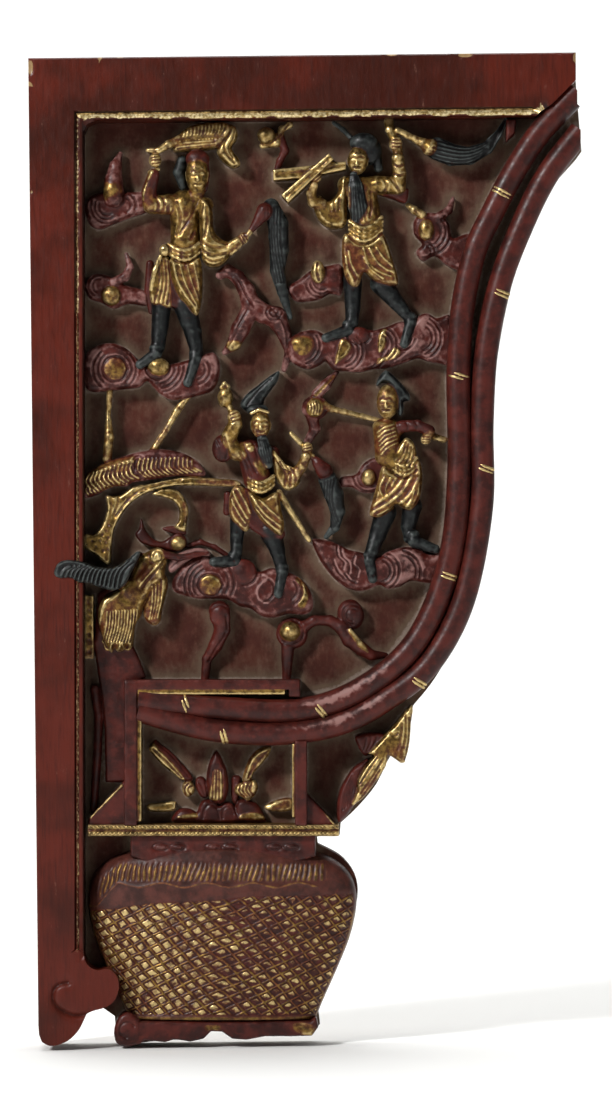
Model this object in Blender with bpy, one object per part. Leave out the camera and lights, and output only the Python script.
"""Carved corner bracket: one board with a frame, two bamboo rods, figures among clouds, a tray and a pot.

Metres, +Z up. The carved front looks along -Y. The origin is on the flat post face, at mid height and mid
thickness.
"""

import math

import bmesh
import bpy
from mathutils import Vector

# Board and frame
BOARD_WIDTH = 0.255
BOARD_HEIGHT = 0.456
BOARD_THICKNESS = 0.038
RECESS_DEPTH = 0.022
STILE_WIDTH_TOP = 0.0207
STILE_WIDTH_FOOT = 0.0170
RAIL_WIDTH = 0.0245
BEAD_WIDTH = 0.0034
BEAD_DROP = 0.0020

# Bamboo rods
ROD_WIDTH = 0.0108
ROD_DROP = 0.0012

# Tray, neck, pot and foot
TRAY_BAR_WIDTH = 0.0062
TRAY_BAR_DROP = 0.0018
TRAY_BASE_HEIGHT = 0.0060
TRAY_BASE_DROP = 0.0010
NECK_DROP = 0.0060
POT_HALF_WIDTH = 0.0625
POT_DROP = 0.0015
FOOT_DROP = 0.0050

# Figures, cap to sole
UPPER_LEFT_HEIGHT = 0.108
UPPER_RIGHT_HEIGHT = 0.100
LOWER_LEFT_HEIGHT = 0.097
LOWER_RIGHT_HEIGHT = 0.094
WING_PROUD = 0.0020

# The setting-out sheet: squares counted right and down, one for each pixel of the 612 x 1100 photograph
SHEET_LEFT = 28
SHEET_TOP = 58
SHEET_WIDE = 555
SHEET_HIGH = 992
SHEET_DEEP = 48
SHEET_TURN = math.radians(0.6)

# Shell settings
ROOT = -6
THICK_LIMB = 8
EDGE_GAP = 0.0004
SPAN_STEPS = 2

BACK_FACE = BOARD_THICKNESS / 2
FRONT_FACE = -BOARD_THICKNESS / 2
GROUND_FACE = FRONT_FACE + RECESS_DEPTH
TOP_EDGE = BOARD_HEIGHT / 2
SQUARE = BOARD_HEIGHT / SHEET_HIGH


def on_board(right, down, height=0):
    """Takes squares on the sheet, and squares of height over the ground, to a point of the board."""
    across = (right - SHEET_LEFT) * math.cos(SHEET_TURN) - (down - SHEET_TOP) * math.sin(SHEET_TURN)
    drop = (down - SHEET_TOP) * math.cos(SHEET_TURN) + (right - SHEET_LEFT) * math.sin(SHEET_TURN)
    return Vector((
        across * BOARD_WIDTH / SHEET_WIDE,
        GROUND_FACE - height * RECESS_DEPTH / SHEET_DEEP,
        TOP_EDGE - drop * BOARD_HEIGHT / SHEET_HIGH,
    ))


def smooth(points, steps=SPAN_STEPS):
    """Points of a smooth curve through the given ones."""
    ends = [points[0], *points, points[-1]]
    curve = []
    for before, start, end, after in zip(ends, ends[1:], ends[2:], ends[3:]):
        for step in range(steps):
            t = step / steps
            curve.append(tuple(
                0.5 * (2 * b + (c - a) * t + (2 * a - 5 * b + 4 * c - d) * t ** 2 + (3 * b - a - 3 * c + d) * t ** 3)
                for a, b, c, d in zip(before, start, end, after)
            ))
    return [*curve, tuple(points[-1])]


def loft(mesh, rings):
    """Closes a shell over rings of the same number of points."""
    loops = [[mesh.verts.new(point) for point in ring] for ring in rings]
    faces = [mesh.faces.new(loops[0][::-1]), mesh.faces.new(loops[-1])]
    for low, high in zip(loops, loops[1:]):
        for index in range(len(low)):
            after = (index + 1) % len(low)
            faces.append(mesh.faces.new((low[index], low[after], high[after], high[index])))
    bmesh.ops.recalc_face_normals(mesh, faces=faces)


def prism(mesh, outline, back, front):
    """An outline of (x, z) points, in metres, carried from back to front."""
    loft(mesh, [[(x, depth, z) for x, z in outline] for depth in (back, front)])


def sheet_outline(points):
    """Sheet points as (x, z) on the board."""
    return [(place.x, place.z) for place in (on_board(right, down) for right, down in points)]


def inset(outline, distance):
    """An outline drawn in by a distance, measured square to its sides."""
    turn = sum(a[0] * b[1] - b[0] * a[1] for a, b in zip(outline, [*outline[1:], outline[0]]))
    side = 1 if turn > 0 else -1
    drawn = []
    for index, point in enumerate(outline):
        here = Vector(point)
        into = (here - Vector(outline[index - 1])).normalized()
        out = (Vector(outline[(index + 1) % len(outline)]) - here).normalized()
        normal = Vector((-into.y - out.y, into.x + out.x)) * side
        normal.normalize()
        drawn.append(tuple(here + normal * distance))
    return drawn


class Carver:
    """Collects the carving's closed shells, each scaled about its own anchor on the sheet."""

    def __init__(self):
        self.mesh = bmesh.new()
        self.anchor = (0, 0)
        self.scale = 1.0

    def about(self, right, down, scale):
        self.anchor = (right, down)
        self.scale = scale

    def at(self, right, down, height):
        spot_right = self.anchor[0] + (right - self.anchor[0]) * self.scale
        spot_down = self.anchor[1] + (down - self.anchor[1]) * self.scale
        return on_board(spot_right, spot_down, height)

    def limb(self, *points, flat=1.0):
        """A ridge along (right, down, axis height, radius) points, rooted in the ground."""
        rings = []
        crest = (-0.5, 0.5) if max(point[3] for point in points) > THICK_LIMB else (0,)
        reach = [(points[0], points[1], -1), *[(point, None, 0) for point in points], (points[-1], points[-2], -1)]
        for index, (point, inner, _) in enumerate(reach):
            right, down, height, radius = point
            if inner is None:
                before = points[max(index - 2, 0)]
                after = points[min(index, len(points) - 1)]
                width = 1.0
            else:
                before, after = (point, inner) if index == 0 else (inner, point)
                sign = -1 if index == 0 else 1
                width = 0.5
            along = Vector((after[0] - before[0], after[1] - before[1])).normalized()
            if inner is not None:
                right += sign * along.x * radius * 0.8
                down += sign * along.y * radius * 0.8
            aside = Vector((-along.y, along.x)) * radius * width
            crown = height + radius * 0.75 * flat * width
            section = ((-1, ROOT), (-1, height), *[(share, crown) for share in crest], (1, height), (1, ROOT))
            rings.append([self.at(right + aside.x * share, down + aside.y * share, level)
                          for share, level in section])
        loft(self.mesh, rings)

    def dome(self, right, down, height, wide, tall, rise, turn=0.0, sides=8, crown=0.5):
        """A rounded boss whose widest ring is at a height, rooted in the ground."""
        lean = math.radians(turn)
        rings = []
        for share, level in ((1.0, ROOT), (1.0, height), (crown, height + rise)):
            ring = []
            for index in range(sides):
                angle = (index + 0.5) * math.tau / sides
                across = wide * share * math.cos(angle)
                along = tall * share * math.sin(angle)
                ring.append(self.at(
                    right + across * math.cos(lean) + along * math.sin(lean),
                    down - across * math.sin(lean) + along * math.cos(lean),
                    level,
                ))
            rings.append(ring)
        loft(self.mesh, rings)

    def slab(self, top, *outline, edge=2.0):
        """A flat form with a sloped edge, rooted in the ground."""
        upper = inset(outline, edge)
        rings = [
            [self.at(*point, ROOT) for point in outline],
            [self.at(*point, top - edge * 1.5) for point in outline],
            [self.at(*point, top) for point in upper],
        ]
        loft(self.mesh, rings)


def board_outline():
    """The board's edge, clockwise from the top left corner."""
    flare = [(584, 148), (579, 155)]
    sweep = smooth([(560, 176), (535, 224), (513, 286), (498, 366), (494, 450), (492, 520), (476, 604), (440, 673),
                    (414, 707)])
    leaf = [(410, 738), (404, 762), (391, 759), (377, 786), (358, 809), (341, 825)]
    neck = [(340, 837), (317, 839)]
    pot = smooth([(318, 847), (344, 862), (358, 888), (352, 926), (334, 970), (317, 1008)])
    foot = [(320, 1028), (312, 1038), (265, 1039), (246, 1042), (232, 1041), (222, 1033), (211, 1033), (203, 1041),
            (190, 1044), (164, 1044), (139, 1047), (126, 1049), (115, 1044), (113, 1020)]
    scroll = [(100, 1011), (86, 1015), (79, 1029), (66, 1041), (52, 1046)]
    edge = sheet_outline([*flare, *sweep, *leaf, *neck, *pot, *foot, *scroll])
    return [(0, TOP_EDGE), (on_board(576, 53).x, TOP_EDGE), *edge, (0, on_board(52, 1046).z)]


def recess_outline():
    """The ground's region, which runs out past the board's edge on the right and below."""
    past = BOARD_WIDTH * 1.2
    rail_line = TOP_EDGE - RAIL_WIDTH
    foot_line = on_board(83, 955).z
    scroll = sheet_outline([(90, 964), (97, 971), (108, 968), (118, 983), (117, 997), (104, 1012), (88, 1017),
                            (80, 1031), (68, 1044)])
    below = TOP_EDGE - BOARD_HEIGHT * 1.1
    rod_meets_rail = on_board(547, 109).x
    rod_meets_edge = sheet_outline([(576, 80), (600, 56)])
    return [(STILE_WIDTH_TOP, rail_line), (rod_meets_rail, rail_line), *rod_meets_edge, (past, below), (scroll[-1][0], below), *scroll[::-1],
            (STILE_WIDTH_FOOT, foot_line)]


def add_frame_bead(mesh):
    """The gilt bead inside the stile and the top rail."""
    front = FRONT_FACE + BEAD_DROP
    root = GROUND_FACE + 0.002
    rail_line = TOP_EDGE - RAIL_WIDTH
    rail_end = on_board(545, 109).x
    foot_line = on_board(83, 955).z
    lap = BEAD_WIDTH * 0.3
    prism(mesh, [
        (STILE_WIDTH_TOP - lap, rail_line + lap),
        (rail_end, rail_line + lap),
        (rail_end, rail_line - BEAD_WIDTH),
        (STILE_WIDTH_TOP + BEAD_WIDTH * 2, rail_line - BEAD_WIDTH),
        (STILE_WIDTH_TOP + BEAD_WIDTH, rail_line - BEAD_WIDTH * 2),
        (STILE_WIDTH_FOOT + BEAD_WIDTH, foot_line),
        (STILE_WIDTH_FOOT - lap, foot_line),
    ], root, front)


def add_rod(mesh, path, root_level):
    """A half-round bamboo rod along a smooth path on the sheet, cut upright at both ends."""
    places = [on_board(*point) for point in smooth(path)]
    front = FRONT_FACE + ROD_DROP
    half = ROD_WIDTH / 2
    section = ((-half, root_level), (-half, front + half * 0.7), (-half * 0.55, front + half * 0.12),
               (half * 0.55, front + half * 0.12), (half, front + half * 0.7), (half, root_level))
    rings = []
    for index, place in enumerate(places):
        ahead = places[min(index + 1, len(places) - 1)]
        behind = places[max(index - 1, 0)]
        along = (ahead - behind).normalized()
        aside = Vector((-along.z, 0, along.x))
        if index in (0, len(places) - 1):
            aside = Vector((0, 0, 1 / along.x))
        rings.append([Vector((place.x, depth, place.z)) + aside * offset for offset, depth in section])
    loft(mesh, rings)


def add_rods(mesh):
    """The two rods that sweep from the top right corner to the tray."""
    root = GROUND_FACE + 0.003
    add_rod(mesh, [(578.5, 91), (558, 112), (537, 136), (514, 172), (493, 212), (475, 252), (463, 310), (459, 372),
                   (460, 466), (453, 548), (431, 616), (399, 662), (345, 698), (290, 711), (220, 708), (134, 700)],
            root)
    add_rod(mesh, [(581.5, 130), (548, 174), (523, 224), (501, 282), (487, 350), (482.5, 425), (482, 507), (464, 600),
                   (430, 664), (386, 700), (340, 724), (280, 734), (210, 730), (134, 713)], root)


def add_tray(mesh):
    """The frame of the tray, its braces and its roped base."""
    front = FRONT_FACE + TRAY_BAR_DROP
    root = GROUND_FACE + 0.004
    bar = TRAY_BAR_WIDTH / SQUARE
    left, right, top, foot = 124, 307, 680, 828
    prism(mesh, sheet_outline([(left, top), (right, top), (right, top + bar), (left, top + bar)]), root, front)
    prism(mesh, sheet_outline([(left, top + 2), (left + bar, top + 2), (left + bar, foot), (left, foot)]),
          root - 0.0003, front + 0.0003)
    prism(mesh, sheet_outline([(right - bar, 740), (right, 740), (right, foot), (right - bar, foot)]),
          root - 0.0006, front + 0.0006)
    brace_front = front + TRAY_BAR_WIDTH * 0.6
    prism(mesh, sheet_outline([(left + 2, 778), (left + 2, foot), (88, foot), (89, 820)]), root - 0.0009, brace_front)
    prism(mesh, sheet_outline([(right - 2, 792), (336, foot - 2), (right - 2, foot)]), root - 0.0009, brace_front)
    base_top = 837 - TRAY_BASE_HEIGHT / SQUARE
    prism(mesh, sheet_outline([(87, base_top), (338.5, base_top), (338.5, 836.5), (87, 836.5)]),
          root - 0.0012, FRONT_FACE + TRAY_BASE_DROP)


def add_neck(mesh):
    """The plain neck between the tray and the pot, with its oval bosses."""
    front = FRONT_FACE + NECK_DROP
    prism(mesh, sheet_outline([(130, 830), (315, 830), (315, 857), (292, 862), (150, 862), (130, 857)]),
          GROUND_FACE + 0.003, front)
    boss_height = 2 * SQUARE
    for pair_middle in (169, 221.5, 282.5):
        for offset in (-9, 9):
            spots = [(pair_middle + offset + 8 * math.cos(turn), 847 + 3.2 * math.sin(turn))
                     for turn in (math.tau * index / 8 for index in range(8))]
            prism(mesh, sheet_outline(spots), front + 0.001, front - boss_height)


def add_pot(mesh):
    """The swelling pot, lofted over half-round sections from shoulder to base."""
    levels = ((853, 0.66), (861, 0.83), (872, 0.93), (888, 0.99), (910, 1.0), (940, 0.95), (972, 0.855), (1004, 0.75),
              (1020, 0.70))
    profile = ((-1, 0), (-0.94, 0.62), (-0.72, 0.88), (-0.3, 1), (0.3, 1), (0.72, 0.88), (0.94, 0.62), (1, 0))
    swell = RECESS_DEPTH - POT_DROP
    rings = []
    for down, share in levels:
        middle = on_board(221.5, down)
        half = POT_HALF_WIDTH * share - EDGE_GAP
        rise = swell * (0.5 + 0.5 * share)
        ring = [(middle.x + across * half, GROUND_FACE - height * rise, middle.z) for across, height in profile]
        ring.insert(0, (middle.x - half, GROUND_FACE + 0.003, middle.z))
        ring.append((middle.x + half, GROUND_FACE + 0.003, middle.z))
        rings.append(ring)
    loft(mesh, rings)
    base = sheet_outline([(117, 1014), (315, 1009), (318, 1028), (311, 1037), (265, 1038), (246, 1041), (232, 1040),
                          (222, 1032), (211, 1032), (203, 1040), (190, 1043), (164, 1043), (139, 1046), (126, 1047.5),
                          (116, 1043)])
    prism(mesh, base, GROUND_FACE + 0.0035, FRONT_FACE + FOOT_DROP)


def add_leaf(carver):
    """The long leaf that hangs between the rods and the tray."""
    carver.slab(40, (411, 711), (408.5, 740), (403.5, 759), (391, 756), (375, 784), (357, 806), (342, 821), (339, 800),
                (352, 774), (362, 755), (368, 736), (388, 724))


def carve_whisk(carver, handle, hair):
    """A fly whisk: its handle with a bell end, and its falling hair."""
    carver.limb(*handle)
    carver.limb(*hair, flat=0.7)


def carve_leg(carver, hip, knee, ankle, toe):
    """A booted leg and its foot."""
    carver.limb((*hip, 14, 11.5), (*knee, 15, 9), (*ankle, 17, 7))
    carver.limb((*ankle, 19, 6), (*toe, 23, 4.5))


def carve_belt(carver, left, middle, right):
    """The two rolls of a belt."""
    for drop in (0, 8):
        carver.limb((left[0], left[1] + drop, 27, 3), (middle[0], middle[1] + drop, 31, 4),
                    (right[0], right[1] + drop, 27, 3))


def carve_upper_left_figure(carver):
    """Striding, a cloth held overhead and a whisk in the lowered hand."""
    carver.about(182, 300, UPPER_LEFT_HEIGHT / (235 * SQUARE))
    carver.dome(195, 157, 21, 12, 9, 8)
    carver.dome(196, 171, 25, 10.5, 19, 9)
    carver.limb((182, 205, 17, 17), (184, 236, 17, 15), flat=0.8)
    carver.limb((168, 200, 18, 9), (206, 203, 18, 8))
    carver.limb((167, 203, 20, 10), (150, 201, 23, 9.5), (153, 173, 27, 6.5))
    carver.dome(155, 159, 29, 6.5, 8, 5.5)
    carver.limb((147, 149, 27, 2.5), (160, 150, 27, 4), (178, 138, 23, 5))
    carver.slab(27, (172, 149), (173, 138), (188, 123), (208, 119), (228, 122), (226, 132), (216, 142), (196, 146))
    carver.limb((230, 127, 20, 7), (226, 140, 21, 6), (234, 158, 21, 6))
    carver.limb((206, 206, 19, 8), (208, 226, 21, 8), (211, 250, 22, 12))
    carver.limb((220, 250, 25, 6), (243, 237, 27, 5))
    carve_whisk(carver, [(231, 251, 27, 2.5), (250, 231, 28, 3), (265, 209, 25, 9)],
                [(272, 207, 20, 10), (278, 236, 19, 11), (276, 270, 17, 8), (290, 312, 13, 3)])
    carve_belt(carver, (167, 242), (184, 251), (200, 241))
    carver.dome(164, 249, 28, 5.5, 6, 4, sides=6)
    carver.slab(25, (156, 256), (169, 257), (171, 305), (151, 300), (150, 280))
    carver.slab(30, (169, 257), (185, 260), (198, 256), (201, 290), (196, 315), (180, 298), (170, 275))
    carve_leg(carver, (161, 298), (158, 328), (156, 352), (139, 364))
    carve_leg(carver, (184, 303), (193, 332), (196, 357), (187, 382))


def carve_upper_right_figure(carver):
    """Bearded, clappers in one hand and a whisk raised in the other."""
    carver.about(366, 285, UPPER_RIGHT_HEIGHT / (217 * SQUARE))
    carver.dome(364, 142, 22, 15, 10, 9)
    carver.limb((372, 146, 20, 8), (377, 164, 16, 6))
    carver.limb((352, 135, 19, 3), (337, 122, 14, 3))
    carver.dome(358, 159, 26, 10.5, 14.5, 9)
    carver.limb((355, 174, 29, 5), (358, 196, 29, 10), (358, 216, 26, 9), flat=0.6)
    carver.limb((360, 190, 17, 17), (366, 216, 17, 16), flat=0.8)
    carver.limb((346, 183, 18, 9), (378, 183, 18, 10))
    carver.slab(26, (345, 177), (345, 222), (331, 225), (319, 214), (321, 199), (332, 197), (339, 186))
    carver.limb((322, 203, 23, 7), (311, 200, 25, 6), (314, 184, 29, 5))
    carver.dome(316, 177, 30, 6, 7, 5, sides=6)
    carver.slab(29, (272, 168), (330, 161), (346, 160), (346, 168), (300, 177), (273, 179), edge=1)
    carver.slab(35, (281, 194), (288, 202), (334, 158), (329, 152), edge=1)
    carver.limb((378, 184, 20, 9), (399, 183, 22, 9), (399, 158, 28, 7))
    carver.slab(22, (368, 186), (408, 186), (406, 200), (376, 192))
    carver.dome(396, 143, 28, 8, 9.5, 6)
    carver.limb((389, 119, 23, 5.5), (389, 128, 26, 5.5))
    carve_whisk(carver, [(397, 131, 27, 4), (415, 139, 28, 3.5), (430, 146, 27, 9)],
                [(437, 147, 22, 12.5), (456, 153, 22, 12), (488, 146, 20, 7), (505, 119, 16, 3)])
    carve_belt(carver, (349, 221), (363, 229), (382, 217))
    carver.slab(29, (345, 232), (362, 238), (380, 230), (391, 250), (399, 281), (382, 283), (364, 271), (356, 285),
                (348, 280), (342, 250))
    carve_leg(carver, (353, 278), (353, 305), (351, 328), (327, 337))
    carve_leg(carver, (382, 282), (397, 300), (411, 319), (406, 343))


def carve_lower_left_figure(carver):
    """A club held up in one hand, a whisk in the other and a staff at the side."""
    carver.about(256, 500, LOWER_LEFT_HEIGHT / (211 * SQUARE))
    carver.slab(24, (240, 404), (258, 384), (278, 371), (276, 382), (262, 407), (248, 411))
    carver.dome(257, 409, 22, 11, 6, 8, sides=6)
    carver.dome(260, 424, 26, 11, 14, 9)
    carver.limb((264, 440, 28, 6), (268, 464, 27, 6))
    carver.limb((250, 452, 18, 14), (257, 478, 18, 15), flat=0.9)
    carver.limb((240, 448, 19, 8), (272, 453, 18, 8))
    carver.dome(223, 448, 21, 11.5, 15, 9)
    carver.limb((230, 436, 26, 8.5), (234, 418, 29, 9))
    carver.dome(225, 397, 25, 8.5, 11, 7)
    carver.limb((232, 414, 28, 4), (226, 384, 26, 2.5))
    carver.slab(26, (273, 451), (281, 464), (296, 469), (300, 482), (288, 489), (275, 474))
    carver.limb((293, 478, 24, 7), (307, 450, 30, 6))
    carve_whisk(carver, [(291, 434, 26, 2.7), (315, 460, 28, 3), (325, 471, 26, 9)],
                [(328, 479, 21, 10), (337, 504, 20, 10), (326, 537, 15, 3)])
    carver.limb((279, 492, 22, 3.7), (310, 540, 18, 3))
    carve_belt(carver, (249, 479), (261, 484), (273, 478))
    carver.slab(25, (233, 487), (243, 487), (251, 502), (248, 531), (238, 526), (229, 508))
    carver.slab(30, (249, 494), (262, 498), (277, 493), (284, 522), (280, 534), (262, 521))
    carve_leg(carver, (238, 520), (236, 540), (235, 560), (213, 562))
    carve_leg(carver, (270, 530), (277, 550), (282, 571), (278, 594))


def carve_lower_right_figure(carver):
    """Turned to the side, one arm out to the rods and a sleeve at the hip."""
    carver.about(394, 480, LOWER_RIGHT_HEIGHT / (204 * SQUARE))
    carver.dome(388, 379, 23, 10, 7, 8, sides=6)
    carver.limb((392, 380, 21, 6), (409, 401, 15, 4))
    carver.dome(388, 401, 26, 10.5, 17.5, 9)
    carver.limb((387, 431, 18, 14), (391, 457, 17, 14))
    carver.limb((380, 426, 19, 7), (400, 428, 19, 7))
    carver.limb((402, 427, 22, 6.5), (424, 428, 25, 6), (425, 439, 25, 5.5))
    carver.slab(28, (405, 438), (415, 444), (418, 458), (406, 470), (392, 462))
    carve_belt(carver, (393, 461), (403, 466), (415, 458))
    carver.slab(30, (383, 466), (418, 458), (423, 478), (412, 509), (396, 504), (378, 517), (370, 514))
    carve_leg(carver, (386, 512), (378, 535), (370, 559), (374, 580))
    carve_leg(carver, (413, 506), (409, 524), (411, 541), (437, 549))


def carve_crane(carver):
    """The crane that comes out of the frame, one wing spread across the stile."""
    carver.about(120, 600, 1.0)
    wing_top = SHEET_DEEP * (1 + WING_PROUD / RECESS_DEPTH)
    carver.slab(wing_top, (54, 574), (62, 567), (96, 568), (124, 562), (140, 551), (142, 560), (126, 588), (96, 590),
                (76, 583))
    carver.limb((156, 556, 27, 9), (138, 578, 27, 12), (114, 608, 25, 15))
    carver.limb((158, 555, 29, 5), (178, 559, 27, 3.5), (206, 554, 24, 2.5))
    carver.slab(28, (98, 600), (130, 592), (140, 606), (131, 649), (118, 652), (106, 646))
    carver.slab(24, (152, 580), (165, 580), (164, 608), (156, 625), (146, 612))


def carve_tree(carver):
    """The pine: its crown of needles, its curled branches and its rock."""
    carver.about(150, 500, 1.0)
    carver.slab(28, (84, 475), (100, 463), (150, 451), (188, 455), (205, 475), (150, 480), (118, 492), (86, 497))
    carver.limb((232, 483, 18, 4), (178, 481, 23, 5), (140, 492, 24, 6), (114, 520, 24, 8), (106, 546, 23, 8))
    carver.slab(25, (104, 498), (118, 500), (113, 530), (108, 566), (83, 546), (83, 535), (96, 530))
    carver.limb((154, 493, 18, 3), (176, 497, 20, 6), (182, 512, 21, 6), (178, 526, 20, 5))
    carver.limb((109, 385, 14, 4), (107, 455, 16, 5))
    carver.limb((190, 392, 12, 3.5), (172, 422, 14, 4.5), (150, 452, 15, 5))
    carver.slab(22, (82, 595), (92, 595), (92, 658), (82, 658), edge=1)
    carver.slab(13, (94, 605), (110, 640), (140, 645), (134, 670), (120, 700), (104, 690), (95, 655))
    carver.limb((93, 690, 9, 5), (96, 735, 9, 4.5), (92, 812, 8, 4))


def carve_cloud(carver, top, lobes, bosses=()):
    """A cloud bank: overlapping round lobes, with gilt bosses standing on them."""
    for right, down, wide, tall in lobes:
        carver.dome(right, down, top - 5, wide, tall, 5, crown=0.75)
    for right, down, wide, tall in bosses:
        carver.dome(right, down, top - 1, wide, tall, 6)


def carve_clouds(carver):
    """The clouds that the figures stand on, and the curls between them."""
    carver.about(280, 450, 1.0)
    carve_cloud(carver, 22, ((108, 367, 26, 26), (145, 377, 26, 13), (176, 383, 24, 17), (204, 373, 15, 22)),
                ((113, 368, 12, 12), (158, 365, 12, 9.5)))
    carve_cloud(carver, 16, ((103, 208, 20, 18), (128, 202, 24, 11)), ((112, 190, 10, 14),))
    carver.limb((112, 196, 12, 10), (114, 172, 12, 8), (119, 153, 9, 3))
    carve_cloud(carver, 15, ((96, 284, 13, 13), (112, 294, 17, 12), (136, 297, 18, 8)), ((110, 294, 10, 10),))
    carver.limb((112, 281, 13, 5), (126, 270, 13, 5), (125, 254, 8, 2.5))
    carver.limb((222, 272, 12, 6), (237, 278, 14, 8), (249, 302, 15, 10), (276, 316, 13, 11), (290, 347, 11, 5))
    carver.limb((248, 312, 15, 10), (240, 328, 16, 11), (233, 343, 16, 8))
    carve_cloud(carver, 15, ((302, 286, 14, 10), (322, 280, 16, 15), (340, 278, 12, 14)), ((318, 270, 7.5, 12),))
    carver.dome(265, 135, 14, 10, 10, 8)
    carver.limb((262, 143, 12, 4), (276, 140, 12, 5), (290, 122, 10, 4))
    carver.limb((280, 136, 12, 4.5), (284, 149, 11, 4.5), (277, 164, 9, 4))
    carve_cloud(carver, 22, ((306, 348, 20, 18), (340, 352, 20, 19), (362, 346, 22, 22), (392, 343, 24, 20),
                             (424, 337, 18, 24), (440, 339, 20, 22)),
                ((302, 343, 11, 9), (342, 349, 9, 12), (381, 343, 6, 12)))
    carve_cloud(carver, 17, ((434, 236, 18, 24), (462, 252, 16, 18)), ((427, 227, 8, 11),))
    carver.limb((411, 205, 11, 4), (421, 213, 14, 5))
    carver.limb((438, 216, 14, 6), (450, 208, 12, 4.5), (454, 198, 8, 2.5))
    carve_cloud(carver, 22, ((198, 578, 26, 22), (236, 582, 24, 24), (266, 594, 24, 24), (294, 595, 19, 21)),
                ((209, 583, 11.5, 9.5),))
    carver.limb((166, 569, 17, 4), (184, 555, 19, 5), (210, 550, 17, 2.5))
    carver.limb((186, 546, 9, 4), (205, 544, 10, 4.5), (226, 553, 9, 4))
    carver.limb((139, 518, 7, 2.5), (143, 538, 10, 5), (166, 546, 13, 6))
    carver.dome(176, 543, 17, 7.5, 7.5, 6, sides=6)
    carver.limb((219, 614, 14, 12), (220, 636, 14, 9), (205, 662, 10, 5.5), (204, 684, 8, 4.5))
    carver.dome(292, 634, 13, 16, 16, 4, crown=0.75)
    carver.dome(290, 632, 16, 10, 9.5, 9)
    carver.limb((288, 645, 11, 8), (286, 684, 8, 4.5))
    carver.limb((303, 627, 12, 7), (322, 619, 12, 6.5), (344, 630, 14, 8), (362, 649, 13, 9), (384, 654, 8, 4))
    carver.dome(351, 615, 11, 14, 16, 8, turn=15)
    carve_cloud(carver, 22, ((334, 560, 22, 20), (360, 570, 24, 20), (386, 570, 18, 19), (412, 565, 20, 18),
                             (436, 567, 15, 16)))
    carve_cloud(carver, 18, ((315, 407, 14, 13),), ((315, 406, 9, 10),))
    carver.limb((317, 392, 12, 6), (327, 382, 12, 6), (336, 373, 9, 3.5))
    carver.limb((326, 404, 12, 6), (344, 411, 11, 4), (380, 420, 10, 3))
    carver.limb((313, 416, 10, 7), (314, 430, 9, 6), (306, 444, 8, 4))
    carve_cloud(carver, 14, ((352, 482, 14, 8), (372, 475, 17, 16)), ((369, 477, 7.5, 8.5),))


def carve_tray_flowers(carver):
    """The lotus bud and the two flowers in the tray."""
    carver.about(217, 800, 1.0)
    carver.slab(19, (199, 822), (204, 806), (204, 788), (217, 752), (230, 788), (230, 804), (237, 822), edge=3)
    carver.dome(217, 790, 18, 8, 14, 6)
    carver.limb((152, 746, 12, 4.5), (166, 762, 14, 6), (182, 782, 14, 4))
    carver.dome(187, 790, 14, 8, 9, 7, turn=35, sides=6)
    carver.limb((265, 752, 12, 4.5), (256, 766, 14, 6), (246, 782, 14, 4))
    carver.dome(246, 790, 14, 10, 10, 7)
    carver.dome(185, 819, 10, 14, 10, 9)
    carver.dome(252, 819, 10, 15, 10, 9)


def mesh_object(name, mesh):
    """Turns a collected mesh into an object of the scene."""
    data = bpy.data.meshes.new(name)
    mesh.to_mesh(data)
    mesh.free()
    made = bpy.data.objects.new(name, data)
    bpy.context.scene.collection.objects.link(made)
    return made


def add_boolean(target, tool, operation, own_overlaps):
    """Cuts a hidden tool out of the target, or joins it on."""
    tool.hide_render = True
    tool.display_type = "WIRE"
    cut = target.modifiers.new(tool.name, "BOOLEAN")
    cut.operation = operation
    cut.object = tool
    cut.solver = "EXACT"
    cut.use_self = own_overlaps


def lacquered_wood():
    """Worn oxblood lacquer over camphor wood."""
    finish = bpy.data.materials.new("lacquered_wood")
    finish.use_nodes = True
    shader = finish.node_tree.nodes["Principled BSDF"]
    shader.inputs["Base Color"].default_value = (0.098, 0.020, 0.014, 1)
    shader.inputs["Roughness"].default_value = 0.42
    shader.inputs["Metallic"].default_value = 0.0
    return finish


def main():
    for old in list(bpy.data.objects):
        bpy.data.objects.remove(old, do_unlink=True)

    blank = bmesh.new()
    prism(blank, board_outline(), BACK_FACE, FRONT_FACE)
    bracket = mesh_object("carved_bracket", blank)
    bracket.data.materials.append(lacquered_wood())

    cutter = bmesh.new()
    prism(cutter, recess_outline(), GROUND_FACE, FRONT_FACE - BOARD_THICKNESS)
    add_boolean(bracket, mesh_object("recess_cutter", cutter), "DIFFERENCE", False)

    carver = Carver()
    add_frame_bead(carver.mesh)
    add_rods(carver.mesh)
    add_tray(carver.mesh)
    add_neck(carver.mesh)
    add_pot(carver.mesh)
    add_leaf(carver)
    carve_upper_left_figure(carver)
    carve_upper_right_figure(carver)
    carve_lower_left_figure(carver)
    carve_lower_right_figure(carver)
    carve_crane(carver)
    carve_tree(carver)
    carve_clouds(carver)
    carve_tray_flowers(carver)
    add_boolean(bracket, mesh_object("carving", carver.mesh), "UNION", True)


main()
